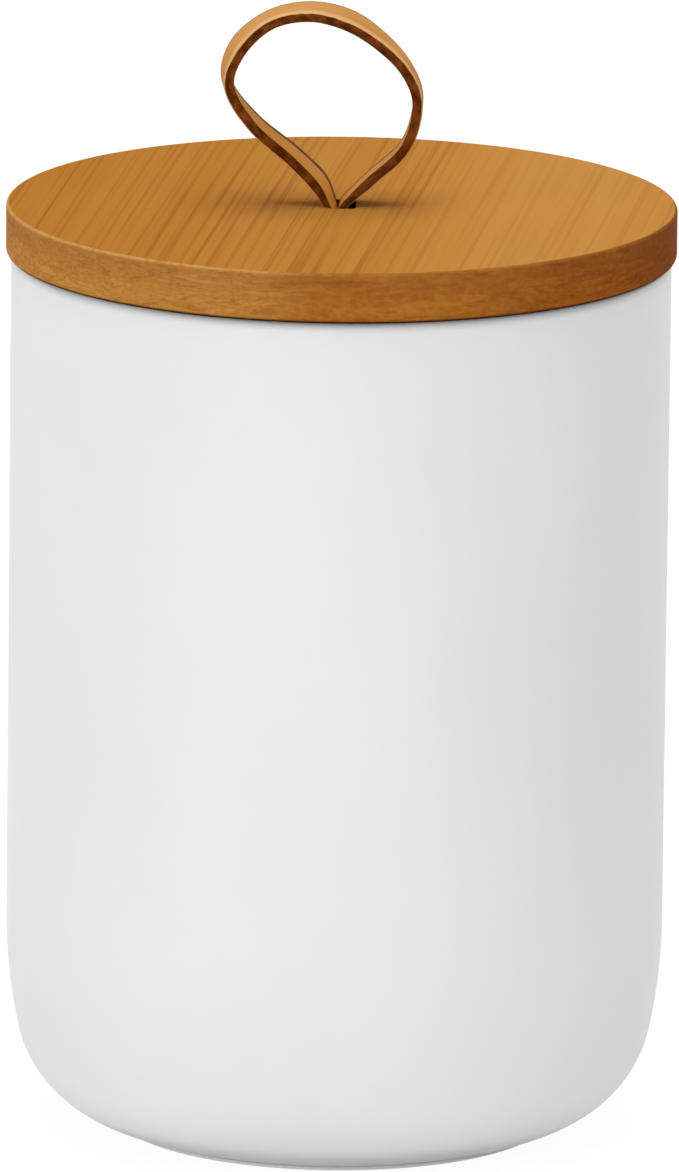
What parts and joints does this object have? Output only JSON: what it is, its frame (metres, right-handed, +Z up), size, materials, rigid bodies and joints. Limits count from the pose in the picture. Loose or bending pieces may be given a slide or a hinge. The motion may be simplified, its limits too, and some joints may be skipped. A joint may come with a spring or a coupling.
{
  "type": "ceramic storage jar",
  "caption": "Round white ceramic storage jar with a rounded base, a lift-off bamboo lid with a sealing ring, and a leather loop to lift it by.",
  "frame": {"origin": "centre of the foot ring's underside, where the jar stands", "axes": "+Z up along the jar's axis, +X to the right and +Y to the back as the picture shows it; the leather loop stands in the XZ plane"},
  "size_m": [0.1016, 0.1016, 0.1733],
  "materials": {
    "glazed_ceramic": "satin white glaze, bare at the foot ring",
    "silicone": "translucent, soft",
    "bamboo": "oiled, fine straight grain",
    "bamboo_plug": "sanded, fine straight grain",
    "leather": "waxed tan leather with dark cut edges",
    "steel": "plain stainless"
  },
  "bodies": {
    "jar": {"jar_body": "glazed_ceramic"},
    "seal": {"seal_ring": "silicone"},
    "lid": {"lid_board": "bamboo", "lid_plug": "bamboo_plug", "strap_tail_left": "leather", "strap_tail_right": "leather", "strap_washers": "steel", "strap_screws": "steel"},
    "loop": {"strap_loop": "leather"}
  },
  "joints": [
    {"name": "lid_lift", "type": "slide", "parent": "jar", "child": "seal", "axis": [0, 0, 1], "range_m": [0, 0.08]},
    {"name": "lid_turn", "type": "hinge", "parent": "seal", "child": "lid", "pos_m": [0, 0, 0.1347], "axis": [0, 0, 1], "continuous": true},
    {"name": "loop_lean", "type": "hinge", "parent": "lid", "child": "loop", "pos_m": [0, 0, 0.1435], "axis": [0, 1, 0], "range_deg": [-26, 32], "stiffness_Nm_per_rad": 0.012}
  ]
}
